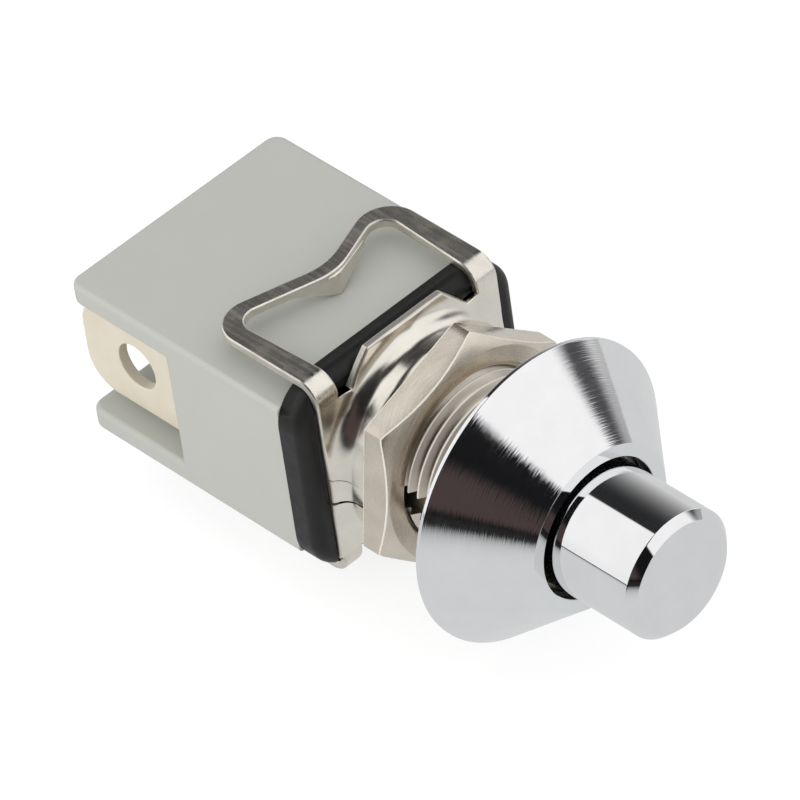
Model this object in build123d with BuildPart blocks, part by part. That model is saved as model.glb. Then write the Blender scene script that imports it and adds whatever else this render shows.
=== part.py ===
from build123d import *
import math
import os

# Momentary push button switch. The button's axis is Y, the front is -Y and the top is +Z.
# Y = 0 is the panel seat, the front of the hex nut. All lengths are in millimetres.

# Clearances, on the radius or on one side
run_clear = 0.06
thread_clear = 0.03
sheet_clear = 0.05
slot_clear = 0.05
post_clear = 0.02
ring_clear = 0.02

# Threaded bushing
thread_d = 12.0
thread_reach = 9.5
bushing_wall = 1.44
button_guide = 6.5
keyway_w = 1.9
keyway_depth = 0.7
bushing_flange_gap = 0.1
bushing_bevel = 0.3

# Hex nut
nut_af = 15.5
nut_t = 2.3
nut_turn = 20.3
nut_bevel_angle = 30.0
nut_face_margin = 0.2
nut_bore_bevel = 0.35

# Mounting frame, folded from one sheet
sheet_t = 0.6
bend_r = 0.9
frame_w = 15.9
lower_trim = 0.35
neck_rise = 2.8
neck_shoulder = 1.2
neck_flare_r = 1.35
neck_edge_r = 0.8
wing_top = 6.3
tab_top = 8.4
tab_top_w = 6.6
tab_slot_w = 0.95
leg_front_w = 1.85
leg_rear_w = 1.4
bar_apex = 8.1
bar_w = 1.15
bar_angle = 18.0
strap_corner_r = 2.3
window_corner_r = 1.2
bar_apex_r = 4.5
bar_shift = 0.85
tooth_w = 6.6
seam_w = 0.22

# Front cover
cover_t = 1.8
cover_h = 15.0
cover_r = 2.9
rail_w = 1.4
cover_proud = 0.1
rail_rise = 0.35
cover_edge_r = 0.9
spigot_depth = 1.0
spigot_wall = 1.0

# Case
case_h = 12.3
case_r = 0.35
case_wall = 1.3
cavity_r = 0.5
partition_t = 1.5
shield_depth = 8.8
shield_gap = 9.0
shield_corner_r = 1.0
case_edge_r = 0.4

# Bezel nut
bezel_seat_gap = 0.25
bezel_d = 21.0
bezel_h = 5.7
bezel_edge = 0.3
bezel_face_set = 0.15
bezel_front_wall = 1.2
bezel_mouth_gap = 0.42
bezel_mouth_bevel = 0.06
bezel_recess_d = 17.0
bezel_recess_depth = 0.5

# Push button
button_out = 7.1
button_bevel = 0.55
button_stop_lip = 0.35
button_stop_t = 1.0
button_travel = 3.0
button_overtravel = 1.0

# Return spring and its washer; both springs have a wire section with few sides
wire_sides = 8
return_wire_d = 0.6
return_spring_gap = 0.67
return_turns = 5.5
washer_t = 0.3
washer_gap = 0.27

# Actuator
post_d = 4.0
post_grip = 4.9
flange_w = 10.0
flange_side_gap = 0.35
flange_t = 1.0
flange_corner_r = 0.8
flange_gap = 0.1
tail_d = 3.0
tail_end = 0.5

# Contact bridge, its spring and its ring
contact_spring_space = 3.1
contact_wire_d = 0.4
contact_spring_d = 4.2
contact_turns = 3.5
bridge_end_margin = 0.1
bridge_side_margin = 0.8
bridge_t = 0.7
bridge_corner_r = 0.8
ring_t = 0.4
ring_d = 5.0
ring_groove = 0.25

# Contacts
contact_in = 2.9
contact_d = 3.2
contact_t = 0.7
contact_edge_r = 0.25
rivet_d = 1.6

# Terminals
terminal_t = 0.8
terminal_side_gap = 0.1
terminal_h = 7.3
terminal_foot_reach = 5.0
terminal_out = 1.0
terminal_corner_r = 2.4
terminal_bend_r = 0.4
terminal_hole_d = 3.4
terminal_hole_in = 4.9

# Stations along Y, from the panel seat to the rear
neck_front = nut_t
plate_front = neck_front + neck_rise
plate_back = plate_front + sheet_t
rail_front = plate_back - rail_rise
case_front = plate_back + cover_t
flange_front = case_front + flange_gap
flange_back = flange_front + flange_t
bridge_front = flange_back + contact_spring_space
bridge_back = bridge_front + bridge_t
ring_front = bridge_back + ring_clear
ring_back = ring_front + ring_t
moving_face = bridge_back + contact_t
fixed_face = moving_face + button_travel - button_overtravel
foot_front = fixed_face + contact_t
foot_back = foot_front + terminal_t
block_back = foot_back + partition_t
case_back = block_back + shield_depth
terminal_back = case_back + terminal_out

# Stations from the panel seat to the front
bushing_front = -thread_reach
bezel_bore_front = bushing_front - bezel_seat_gap
bezel_front = bezel_bore_front - bezel_front_wall
bezel_back = bezel_front + bezel_h
button_front = bezel_front - button_out
stop_y = bushing_front + button_guide
button_back = stop_y + button_stop_t
washer_front = plate_back - washer_t

# Heights and half widths
strap_under = cover_h / 2
strap_top = strap_under + sheet_t
tooth_top = strap_under + sheet_t / 2
window_front_w = frame_w - 2 * leg_front_w
window_rear_w = frame_w - 2 * leg_rear_w
tab_base_w = window_front_w - 2 * tab_slot_w
lower_loop_w = frame_w - 2 * lower_trim
blank_r = math.hypot(frame_w / 2, tab_top)
cover_w = frame_w + 2 * (sheet_clear + rail_w)
case_w = cover_w - 2 * cover_proud
cavity_w = case_w - 2 * case_wall
cavity_h = case_h - 2 * case_wall
flange_h = cavity_h - 2 * (spigot_wall + flange_side_gap)
blade_x = cavity_w / 2 - terminal_side_gap
contact_x = blade_x - contact_in
bridge_w = 2 * contact_x + contact_d + 2 * bridge_end_margin
bridge_h = contact_d + 2 * bridge_side_margin

# Bores and the pieces that run in them
button_bore_d = thread_d - 2 * bushing_wall
button_d = button_bore_d - 2 * run_clear
button_stop_d = button_bore_d + 2 * button_stop_lip
stop_bore_d = button_stop_d + 2 * run_clear
return_spring_d = stop_bore_d - 2 * return_spring_gap - return_wire_d
washer_d = stop_bore_d - 2 * washer_gap
neck_d = thread_d + 2 * neck_shoulder
neck_bore_d = neck_d - 2 * sheet_t
bushing_flange_d = neck_bore_d - 2 * bushing_flange_gap
bushing_flange_bevel = neck_edge_r - sheet_t + sheet_clear
bezel_face_d = thread_d - 2 * bezel_face_set
bezel_mouth_d = button_d + 2 * bezel_mouth_gap
guide_hole_d = post_d + 2 * run_clear
tail_hole_d = tail_d + 2 * run_clear
groove_d = tail_d - 2 * ring_groove
nut_corner_d = nut_af / math.cos(math.radians(30))
bar_slope = math.tan(math.radians(bar_angle))
bar_back = plate_front + bar_apex
bar_front = bar_back - bar_w


def front_plane(y):
    """Plane seen from the front: its x is X, its y is Z, and a negative extrusion runs to the rear."""
    return Plane.XZ.offset(-y)


os.makedirs("parts", exist_ok=True)


# Case: a moulded box, open at the front, with two shields that reach back over the terminals
with BuildPart() as case:
    with BuildSketch(front_plane(case_front)):
        RectangleRounded(case_w, case_h, case_r)
    extrude(amount=-(case_back - case_front))
    with BuildSketch(Plane.YZ):
        with BuildLine():
            Polyline(
                (case_front, -case_h / 2),
                (case_back, -case_h / 2),
                (case_back, -shield_gap / 2),
                (block_back, -shield_gap / 2),
                (block_back, shield_gap / 2),
                (case_back, shield_gap / 2),
                (case_back, case_h / 2),
                (case_front, case_h / 2),
                close=True,
            )
        make_face()
        fillet(vertices().group_by(Axis.X)[-1], case_edge_r)
    extrude(amount=case_w / 2, both=True, mode=Mode.INTERSECT)
    with BuildSketch(Plane.XY.offset(-case_h / 2)):
        with Locations((0, (case_front + case_back) / 2)):
            Rectangle(case_w, case_back - case_front)
        fillet(vertices().group_by(Axis.Y)[-1], shield_corner_r)
    extrude(amount=case_h, mode=Mode.INTERSECT)
    with BuildSketch(front_plane(case_front)):
        RectangleRounded(cavity_w, cavity_h, cavity_r)
    extrude(amount=-(foot_back - case_front), mode=Mode.SUBTRACT)
    with BuildSketch(front_plane(foot_back)):
        with Locations((blade_x - terminal_t / 2, 0), (terminal_t / 2 - blade_x, 0)):
            Rectangle(terminal_t + 2 * slot_clear, terminal_h + 2 * slot_clear)
    extrude(amount=-partition_t, mode=Mode.SUBTRACT)
    relief_w = terminal_t + terminal_bend_r + 2 * slot_clear
    relief_x = blade_x + slot_clear - relief_w / 2
    with BuildSketch(front_plane(foot_back)):
        with Locations((relief_x, 0), (-relief_x, 0)):
            Rectangle(relief_w, terminal_h + 2 * slot_clear)
    extrude(amount=-(terminal_bend_r + slot_clear), mode=Mode.SUBTRACT)
case.part.label = "case"
export_step(case.part, "parts/case.step")


# Front cover: closes the case, holds the plate between two rails and guides the actuator's post
with BuildPart() as front_cover:
    with BuildSketch(front_plane(rail_front)):
        RectangleRounded(cover_w, cover_h, cover_r)
    extrude(amount=-(case_front - rail_front))
    fillet(front_cover.faces().sort_by(Axis.Y)[0].edges(), cover_edge_r)
    seat_bend_r = bend_r + sheet_clear
    with BuildSketch(Plane.YZ):
        with Locations(((rail_front + plate_back + seat_bend_r) / 2, 0)):
            Rectangle(plate_back + seat_bend_r - rail_front, cover_h)
        with Locations((plate_back + 2 * seat_bend_r, 0)):
            RectangleRounded(4 * seat_bend_r, cover_h, seat_bend_r, mode=Mode.SUBTRACT)
    extrude(amount=frame_w / 2 + sheet_clear, both=True, mode=Mode.SUBTRACT)
    with BuildSketch(front_plane(case_front)):
        RectangleRounded(cavity_w - 2 * slot_clear, cavity_h - 2 * slot_clear, cavity_r)
        Rectangle(cavity_w - 2 * spigot_wall, cavity_h - 2 * spigot_wall, mode=Mode.SUBTRACT)
    extrude(amount=-spigot_depth)
    with BuildSketch(front_plane(plate_back)):
        Circle(guide_hole_d / 2)
    extrude(amount=-cover_t, mode=Mode.SUBTRACT)
front_cover.part.label = "front_cover"
export_step(front_cover.part, "parts/front_cover.step")


# Tooth of the strap loop: a lip under the V of the bar, bent down until its point meets the case
with BuildPart() as strap_tooth:
    with BuildSketch(Plane.XY.offset(case_h / 2)):
        with BuildLine():
            Polyline(
                (bar_shift - tooth_w / 2, bar_front + bar_slope * tooth_w / 2),
                (bar_shift, bar_front),
                (bar_shift + tooth_w / 2, bar_front + bar_slope * tooth_w / 2),
                (bar_shift + tooth_w / 2, bar_front + bar_slope * tooth_w / 2 + sheet_t),
                (bar_shift, bar_front + sheet_t),
                (bar_shift - tooth_w / 2, bar_front + bar_slope * tooth_w / 2 + sheet_t),
                close=True,
            )
        make_face()
    extrude(amount=tooth_top - case_h / 2)
    with BuildSketch(front_plane(bar_front)):
        with BuildLine():
            Polyline(
                (bar_shift - tooth_w / 2, tooth_top),
                (bar_shift - tooth_w / 2, strap_under),
                (bar_shift, case_h / 2),
                (bar_shift + tooth_w / 2, strap_under),
                (bar_shift + tooth_w / 2, tooth_top),
                close=True,
            )
        make_face()
    extrude(amount=-(bar_slope * tooth_w / 2 + sheet_t), mode=Mode.INTERSECT)


# Strap loop of the mounting frame: a leg on each side, joined at the rear by a bar that dips in a V
with BuildPart() as strap_loop:
    with BuildSketch(Plane.YZ):
        with BuildLine():
            Polyline(
                (plate_front, wing_top),
                (plate_front, strap_top),
                (case_back, strap_top),
                (case_back, strap_under),
                (plate_back, strap_under),
                (plate_back, wing_top),
                close=True,
            )
        make_face()
        fillet(vertices().sort_by_distance((plate_front, strap_top))[0], bend_r + sheet_t)
        fillet(vertices().sort_by_distance((plate_back, strap_under))[0], bend_r)
    extrude(amount=frame_w / 2, both=True)
    with BuildSketch(Plane.XY):
        with BuildLine():
            Polyline(
                (-frame_w / 2, plate_front),
                (-frame_w / 2, bar_back + bar_slope * frame_w / 2),
                (bar_shift, bar_back),
                (frame_w / 2, bar_back + bar_slope * frame_w / 2),
                (frame_w / 2, plate_front),
                close=True,
            )
        make_face()
        fillet(vertices().sort_by_distance((bar_shift, bar_back))[0], bar_apex_r)
        fillet(vertices().group_by(Axis.Y)[-1], strap_corner_r)
    extrude(amount=strap_top + sheet_t, mode=Mode.INTERSECT)
    with BuildSketch(Plane.XY):
        with BuildLine():
            Polyline(
                (-window_front_w / 2, plate_front),
                (-window_rear_w / 2, bar_front + bar_slope * window_rear_w / 2),
                (bar_shift, bar_front),
                (window_rear_w / 2, bar_front + bar_slope * window_rear_w / 2),
                (window_front_w / 2, plate_front),
                close=True,
            )
        make_face()
        fillet(vertices().sort_by_distance((bar_shift, bar_front))[0], bar_apex_r)
        fillet(vertices().group_by(Axis.Y)[-1], window_corner_r)
    extrude(amount=strap_top + sheet_t, mode=Mode.SUBTRACT)
    add(strap_tooth.part)


# Lower strap loop: the same loop mirrored and trimmed to its own width
with BuildPart() as lower_loop:
    mirror(strap_loop.part, about=Plane.XY)
    with BuildSketch(front_plane(plate_front)):
        Rectangle(lower_loop_w, 2 * strap_top)
    extrude(amount=-(case_back - plate_front), mode=Mode.INTERSECT)


# Mounting frame: a plate drawn forward into a neck, with a tab and a strap loop at each end
with BuildPart() as mounting_frame:
    with BuildSketch(Plane.XY):
        with BuildLine():
            Polyline(
                (thread_d / 2 + thread_clear, neck_front),
                (neck_d / 2, neck_front),
                (neck_d / 2, plate_front),
                (blank_r, plate_front),
                (blank_r, plate_back),
                (neck_bore_d / 2, plate_back),
                (neck_bore_d / 2, neck_front + sheet_t),
                (thread_d / 2 + thread_clear, neck_front + sheet_t),
                close=True,
            )
        make_face()
        fillet(vertices().sort_by_distance((neck_d / 2, neck_front))[0], neck_edge_r)
        fillet(vertices().sort_by_distance((neck_d / 2, plate_front))[0], neck_flare_r)
        fillet(vertices().sort_by_distance((neck_bore_d / 2, plate_back))[0], neck_flare_r + sheet_t)
        fillet(vertices().sort_by_distance((neck_bore_d / 2, neck_front + sheet_t))[0], neck_edge_r - sheet_t)
    revolve(axis=Axis.Y)
    with BuildSketch(front_plane(neck_front)):
        Rectangle(frame_w, 2 * wing_top)
        with BuildLine():
            Polyline(
                (-tab_top_w / 2, tab_top),
                (tab_top_w / 2, tab_top),
                (tab_base_w / 2, wing_top),
                (tab_base_w / 2, -wing_top),
                (tab_top_w / 2, -tab_top),
                (-tab_top_w / 2, -tab_top),
                (-tab_base_w / 2, -wing_top),
                (-tab_base_w / 2, wing_top),
                close=True,
            )
        make_face()
    extrude(amount=-(plate_back - neck_front), mode=Mode.INTERSECT)
    add(strap_loop.part)
    add(lower_loop.part)
    seam_reach = (frame_w - neck_bore_d) / 2
    with BuildSketch(front_plane(plate_front - neck_flare_r)):
        with Locations((seam_reach / 2 - frame_w / 2, 0), (frame_w / 2 - seam_reach / 2, 0)):
            Rectangle(seam_reach, seam_w)
    extrude(amount=-(neck_flare_r + sheet_t), mode=Mode.SUBTRACT)
mounting_frame.part.label = "mounting_frame"
export_step(mounting_frame.part, "parts/mounting_frame.step")


# Threaded bushing: bored for the button, flanged inside the neck, with a keyway along its left side
with BuildPart() as threaded_bushing:
    with BuildSketch(Plane.XY):
        with BuildLine():
            Polyline(
                (button_bore_d / 2, bushing_front),
                (thread_d / 2 - bushing_bevel, bushing_front),
                (thread_d / 2, bushing_front + bushing_bevel),
                (thread_d / 2, neck_front + sheet_t),
                (bushing_flange_d / 2 - bushing_flange_bevel, neck_front + sheet_t),
                (bushing_flange_d / 2, neck_front + sheet_t + bushing_flange_bevel),
                (bushing_flange_d / 2, plate_back),
                (stop_bore_d / 2, plate_back),
                (stop_bore_d / 2, stop_y),
                (button_bore_d / 2, stop_y),
                close=True,
            )
        make_face()
    revolve(axis=Axis.Y)
    with BuildSketch(front_plane(bushing_front)):
        with Locations((-thread_d / 2, 0)):
            Rectangle(2 * keyway_depth, keyway_w)
    extrude(amount=-(thread_reach + neck_front + sheet_t), mode=Mode.SUBTRACT)
threaded_bushing.part.label = "threaded_bushing"
export_step(threaded_bushing.part, "parts/threaded_bushing.step")


# Hex nut: bevelled at its front, where the panel seats
with BuildPart() as hex_nut:
    with BuildSketch(front_plane(0)):
        RegularPolygon(nut_corner_d / 2, 6, rotation=nut_turn)
    extrude(amount=-nut_t)
    bevel_run = nut_corner_d / 2 - nut_af / 2 + nut_face_margin
    with BuildSketch(Plane.XY):
        with BuildLine():
            Polyline(
                (0, 0),
                (nut_af / 2 - nut_face_margin, 0),
                (nut_corner_d / 2, bevel_run * math.tan(math.radians(nut_bevel_angle))),
                (nut_corner_d / 2, nut_t),
                (0, nut_t),
                close=True,
            )
        make_face()
    revolve(axis=Axis.Y, mode=Mode.INTERSECT)
    with BuildSketch(front_plane(0)):
        Circle(thread_d / 2 + thread_clear)
    extrude(amount=-nut_t, mode=Mode.SUBTRACT)
    chamfer(hex_nut.edges().filter_by(GeomType.CIRCLE).sort_by(SortBy.RADIUS)[:2], nut_bore_bevel)
hex_nut.part.label = "hex_nut"
export_step(hex_nut.part, "parts/hex_nut.step")


# Bezel nut: a turned cone that screws on from the front and clamps the panel against the hex nut
with BuildPart() as bezel_nut:
    with BuildSketch(Plane.XY):
        with BuildLine():
            Polyline(
                (thread_d / 2 + run_clear, bezel_back - bezel_recess_depth),
                (bezel_recess_d / 2, bezel_back - bezel_recess_depth),
                (bezel_recess_d / 2, bezel_back),
                (bezel_d / 2, bezel_back),
                (bezel_d / 2, bezel_back - bezel_edge),
                (bezel_face_d / 2, bezel_front),
                (bezel_mouth_d / 2 + bezel_mouth_bevel, bezel_front),
                (bezel_mouth_d / 2, bezel_front + bezel_mouth_bevel),
                (bezel_mouth_d / 2, bezel_bore_front),
                (thread_d / 2 + run_clear, bezel_bore_front),
                close=True,
            )
        make_face()
    revolve(axis=Axis.Y)
bezel_nut.part.label = "bezel_nut"
export_step(bezel_nut.part, "parts/bezel_nut.step")


# Push button: a turned plunger with a stop collar and a blind bore for the actuator's post
with BuildPart() as push_button:
    with BuildSketch(Plane.XY):
        with BuildLine():
            Polyline(
                (0, button_front),
                (button_d / 2 - button_bevel, button_front),
                (button_d / 2, button_front + button_bevel),
                (button_d / 2, stop_y),
                (button_stop_d / 2, stop_y),
                (button_stop_d / 2, button_back),
                (post_d / 2 + post_clear, button_back),
                (post_d / 2 + post_clear, button_back - post_grip),
                (0, button_back - post_grip),
                close=True,
            )
        make_face()
    revolve(axis=Axis.Y)
push_button.part.label = "push_button"
export_step(push_button.part, "parts/push_button.step")


# Spring washer: a flat washer that carries the return spring on the cover
with BuildPart() as spring_washer:
    with BuildSketch(front_plane(washer_front)):
        Circle(washer_d / 2)
        Circle(guide_hole_d / 2, mode=Mode.SUBTRACT)
    extrude(amount=-washer_t)
spring_washer.part.label = "spring_washer"
export_step(spring_washer.part, "parts/spring_washer.step")


# Return spring: coiled round the post, between the button's stop collar and the washer
return_coil_h = washer_front - button_back - return_wire_d
with BuildPart() as return_spring:
    with BuildLine():
        return_coil = Helix(
            return_coil_h / return_turns,
            return_coil_h,
            return_spring_d / 2,
            center=(0, button_back + return_wire_d / 2, 0),
            direction=(0, 1, 0),
        )
    with BuildSketch(Plane(origin=return_coil @ 0, z_dir=return_coil % 0)):
        RegularPolygon(return_wire_d / 2, wire_sides)
    sweep(path=return_coil, is_frenet=True)
return_spring.part.label = "return_spring"
export_step(return_spring.part, "parts/return_spring.step")


# Actuator: a moulded post from the button to a flange in the case, with a tail that carries the bridge
with BuildPart() as actuator:
    with BuildSketch(Plane.XY):
        with BuildLine():
            Polyline(
                (0, button_back - post_grip),
                (post_d / 2, button_back - post_grip),
                (post_d / 2, flange_front),
                (tail_d / 2, flange_front),
                (tail_d / 2, ring_front - ring_clear),
                (groove_d / 2, ring_front - ring_clear),
                (groove_d / 2, ring_back + ring_clear),
                (tail_d / 2, ring_back + ring_clear),
                (tail_d / 2, ring_back + tail_end),
                (0, ring_back + tail_end),
                close=True,
            )
        make_face()
    revolve(axis=Axis.Y)
    with BuildSketch(front_plane(flange_front)):
        RectangleRounded(flange_w, flange_h, flange_corner_r)
    extrude(amount=-flange_t)
actuator.part.label = "actuator"
export_step(actuator.part, "parts/actuator.step")


# Contact bridge: a flat strip that floats on the actuator's tail
with BuildPart() as contact_bridge:
    with BuildSketch(front_plane(bridge_front)):
        RectangleRounded(bridge_w, bridge_h, bridge_corner_r)
        Circle(tail_hole_d / 2, mode=Mode.SUBTRACT)
        with Locations((contact_x, 0), (-contact_x, 0)):
            Circle(rivet_d / 2 + post_clear, mode=Mode.SUBTRACT)
    extrude(amount=-bridge_t)
contact_bridge.part.label = "contact_bridge"
export_step(contact_bridge.part, "parts/contact_bridge.step")


# Contact spring: presses the bridge back against its ring and gives way once the contacts have met
contact_coil_h = contact_spring_space - contact_wire_d
with BuildPart() as contact_spring:
    with BuildLine():
        contact_coil = Helix(
            contact_coil_h / contact_turns,
            contact_coil_h,
            contact_spring_d / 2,
            center=(0, flange_back + contact_wire_d / 2, 0),
            direction=(0, 1, 0),
        )
    with BuildSketch(Plane(origin=contact_coil @ 0, z_dir=contact_coil % 0)):
        RegularPolygon(contact_wire_d / 2, wire_sides)
    sweep(path=contact_coil, is_frenet=True)
contact_spring.part.label = "contact_spring"
export_step(contact_spring.part, "parts/contact_spring.step")


# Retaining ring: a clip in the groove of the tail, open below
with BuildPart() as retaining_ring:
    with BuildSketch(front_plane(ring_front)):
        Circle(ring_d / 2)
        Circle(groove_d / 2 + post_clear, mode=Mode.SUBTRACT)
        with Locations((0, -ring_d / 4)):
            Rectangle(groove_d + 2 * post_clear, ring_d / 2, mode=Mode.SUBTRACT)
    extrude(amount=-ring_t)
retaining_ring.part.label = "retaining_ring"
export_step(retaining_ring.part, "parts/retaining_ring.step")


# Moving contact: a rivet in the bridge, with its head to the rear
with BuildPart() as moving_contact_left:
    with BuildSketch(front_plane(bridge_back)):
        with Locations((-contact_x, 0)):
            Circle(contact_d / 2)
    extrude(amount=-contact_t)
    fillet(moving_contact_left.faces().sort_by(Axis.Y)[-1].edges(), contact_edge_r)
    with BuildSketch(front_plane(bridge_front)):
        with Locations((-contact_x, 0)):
            Circle(rivet_d / 2)
    extrude(amount=-bridge_t)
moving_contact_left.part.label = "moving_contact_left"
export_step(moving_contact_left.part, "parts/moving_contact_left.step")

with BuildPart() as moving_contact_right:
    mirror(moving_contact_left.part, about=Plane.YZ)
moving_contact_right.part.label = "moving_contact_right"
export_step(moving_contact_right.part, "parts/moving_contact_right.step")


# Fixed contact: a rivet in the terminal's foot, with its head to the front
with BuildPart() as fixed_contact_left:
    with BuildSketch(front_plane(fixed_face)):
        with Locations((-contact_x, 0)):
            Circle(contact_d / 2)
    extrude(amount=-contact_t)
    fillet(fixed_contact_left.faces().sort_by(Axis.Y)[0].edges(), contact_edge_r)
    with BuildSketch(front_plane(foot_front)):
        with Locations((-contact_x, 0)):
            Circle(rivet_d / 2)
    extrude(amount=-terminal_t)
fixed_contact_left.part.label = "fixed_contact_left"
export_step(fixed_contact_left.part, "parts/fixed_contact_left.step")

with BuildPart() as fixed_contact_right:
    mirror(fixed_contact_left.part, about=Plane.YZ)
fixed_contact_right.part.label = "fixed_contact_right"
export_step(fixed_contact_right.part, "parts/fixed_contact_right.step")


# Terminal: an angle with a foot on the partition and a blade that runs out between the shields
with BuildPart() as terminal_left:
    with BuildSketch(Plane.XY):
        with BuildLine():
            Polyline(
                (-blade_x, terminal_back),
                (-blade_x, foot_front),
                (terminal_foot_reach - blade_x, foot_front),
                (terminal_foot_reach - blade_x, foot_back),
                (terminal_t - blade_x, foot_back),
                (terminal_t - blade_x, terminal_back),
                close=True,
            )
        make_face()
        fillet(vertices().sort_by_distance((-blade_x, foot_front))[0], terminal_bend_r + terminal_t)
        fillet(vertices().sort_by_distance((terminal_t - blade_x, foot_back))[0], terminal_bend_r)
    extrude(amount=terminal_h / 2, both=True)
    blade_end = terminal_left.faces().sort_by(Axis.Y)[-1]
    fillet(blade_end.edges().filter_by(Axis.X), terminal_corner_r)
    with BuildSketch(Plane.YZ.offset(-blade_x)):
        with Locations((terminal_back - terminal_hole_in, 0)):
            Circle(terminal_hole_d / 2)
    extrude(amount=terminal_t, mode=Mode.SUBTRACT)
    with BuildSketch(front_plane(foot_front)):
        with Locations((-contact_x, 0)):
            Circle(rivet_d / 2 + post_clear)
    extrude(amount=-terminal_t, mode=Mode.SUBTRACT)
terminal_left.part.label = "terminal_left"
export_step(terminal_left.part, "parts/terminal_left.step")

with BuildPart() as terminal_right:
    mirror(terminal_left.part, about=Plane.YZ)
terminal_right.part.label = "terminal_right"
export_step(terminal_right.part, "parts/terminal_right.step")
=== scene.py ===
import math

import bmesh
import bpy
from mathutils import Matrix, Vector


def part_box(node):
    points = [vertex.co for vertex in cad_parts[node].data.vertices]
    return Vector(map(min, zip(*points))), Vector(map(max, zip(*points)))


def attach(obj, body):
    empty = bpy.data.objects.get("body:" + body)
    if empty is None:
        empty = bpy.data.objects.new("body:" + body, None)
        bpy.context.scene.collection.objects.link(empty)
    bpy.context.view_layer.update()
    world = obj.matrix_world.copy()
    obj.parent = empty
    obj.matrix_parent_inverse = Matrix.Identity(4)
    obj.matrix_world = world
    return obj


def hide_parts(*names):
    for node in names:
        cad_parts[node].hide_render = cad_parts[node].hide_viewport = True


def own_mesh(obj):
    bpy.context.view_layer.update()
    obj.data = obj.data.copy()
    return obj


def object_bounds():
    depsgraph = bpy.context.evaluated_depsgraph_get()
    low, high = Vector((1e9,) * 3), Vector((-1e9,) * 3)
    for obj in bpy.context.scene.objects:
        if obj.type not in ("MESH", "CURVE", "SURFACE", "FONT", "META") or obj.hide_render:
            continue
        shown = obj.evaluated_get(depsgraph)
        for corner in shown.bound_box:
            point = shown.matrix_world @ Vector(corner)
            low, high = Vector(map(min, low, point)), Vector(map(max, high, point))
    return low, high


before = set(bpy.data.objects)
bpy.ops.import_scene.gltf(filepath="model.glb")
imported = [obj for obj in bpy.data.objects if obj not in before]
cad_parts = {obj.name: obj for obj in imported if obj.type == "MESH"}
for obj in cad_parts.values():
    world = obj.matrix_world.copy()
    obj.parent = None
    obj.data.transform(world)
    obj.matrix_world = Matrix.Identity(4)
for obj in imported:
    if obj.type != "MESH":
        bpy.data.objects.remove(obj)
cad_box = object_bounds()

# Lengths are in millimetres unless a comment says otherwise. Y runs to the rear along the button's axis.
MM = 0.001
MICRON = 1e-6

# Tolerances: points that are welded, places that count as the same, and what counts as nothing
WELD = 1e-4
NEAR = 1e-3
TINY = 1e-9

# In degrees: an edge past SHARP is kept sharp or bevelled, and faces within FLAT_WITHIN are made one
SHARP = 40.0
NUT_SHARP = 25.0
FLAT_WITHIN = 0.5

# Rounding: steps of a bevel and of a corner, the most of a side that a corner takes, and the radius of edges
# that are hardly seen
BEVEL_STEPS = 3
ROUND_STEPS = 5
ROUND_SHARE = 0.49
HIDDEN_EDGE_R = 0.03

# Button
BUTTON_FRONT = -18.05
BUTTON_BEVEL = 0.55
BUTTON_R = 4.5
BUTTON_FACE_EDGE_R = 0.07
BUTTON_SIDE_EDGE_R = 0.10
BUTTON_STOP_Y = -3.0
BUTTON_STOP_R = 4.91
BUTTON_BACK = -2.0
BUTTON_HOLE_R = 2.02
BUTTON_HOLE_Y = -6.9
BUTTON_COLUMNS = 192

# Bezel nut
BEZEL_BORE_R = 6.06
BEZEL_RECESS_Y = -5.75
BEZEL_RECESS_R = 8.5
BEZEL_REAR = -5.25
BEZEL_R = 10.5
BEZEL_RIM = 0.30
BEZEL_FACE_R = 5.85
BEZEL_FRONT = -10.95
BEZEL_HOLE_R = 4.92
BEZEL_HOLE_BEVEL = 0.06
BEZEL_SEAT_Y = -9.75
BEZEL_EDGE_R = 0.05
BEZEL_RIM_EDGE_R = 0.08
BEZEL_COLUMNS = 256
# Where the bezel nut's polished ring, its inside painted dark as shade, and its satin back begin
BEZEL_RING_R = 5.84
BEZEL_MOUTH_Y = -10.90
BEZEL_BACK_Y = -5.80
BEZEL_BACK_FACING = 0.5

# Threaded bushing
THREAD_R = 6.0
THREAD_PITCH = 0.85
THREAD_DEPTH = 0.50
THREAD_START = math.radians(150)
# How far below the thread's crest its faces get the painted highlight
THREAD_HIGHLIGHT_BAND = 0.035
THREAD_COLUMNS = 160
# One pitch of the thread, as (share of the pitch, share of the depth)
THREAD_SHAPE = (
    (0.00, 0.0), (0.03, 0.0), (0.08, 0.06), (0.42, 0.93), (0.47, 1.0),
    (0.53, 1.0), (0.58, 0.93), (0.92, 0.06), (0.97, 0.0))
BUSHING_FRONT = -9.5
BUSHING_BEVEL = 0.3
BUSHING_THREAD_END = 2.9
# The painted highlight on the crests stops just short of the thread's end
BUSHING_HIGHLIGHT_END = BUSHING_THREAD_END - 0.05
BUSHING_BORE_R = 4.56
BUSHING_STOP_R = 4.97
BUSHING_STOP_Y = -3.0
BUSHING_FLANGE_R = 6.5
BUSHING_FLANGE_BEVEL = 0.25
BUSHING_BACK = 5.7
KEYWAY_HALF = 0.95
KEYWAY_X = -5.3
# Columns nearer than this many half widths to the keyway's middle give way to its walls
KEYWAY_ROOM = 1.3
# In radians, between the top and the foot of a wall
KEYWAY_WALL_TURN = 1e-4

# Hexagon nut
NUT_FLAT = 7.75
NUT_CORNER_R = 8.9
NUT_FACE_R = 7.55
NUT_BORE_R = 6.03
NUT_BORE_BEVEL = 0.35
NUT_THICK = 2.3
NUT_TURN = math.radians(20.3)
NUT_SIDE = math.radians(60)
NUT_BEVEL = math.tan(math.radians(30))
NUT_COLUMNS = 192
NUT_EDGE_R = 0.12
NUT_FACE_EDGE_R = 0.10
NUT_BORE_EDGE_R = 0.05
NUT_EDGE_STEPS = 3
# Slopes along Y between which a face is part of the nut's rounded edge strips, which get a painted highlight
NUT_HIGHLIGHT_SLOPES = (0.06, 0.8)

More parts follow.
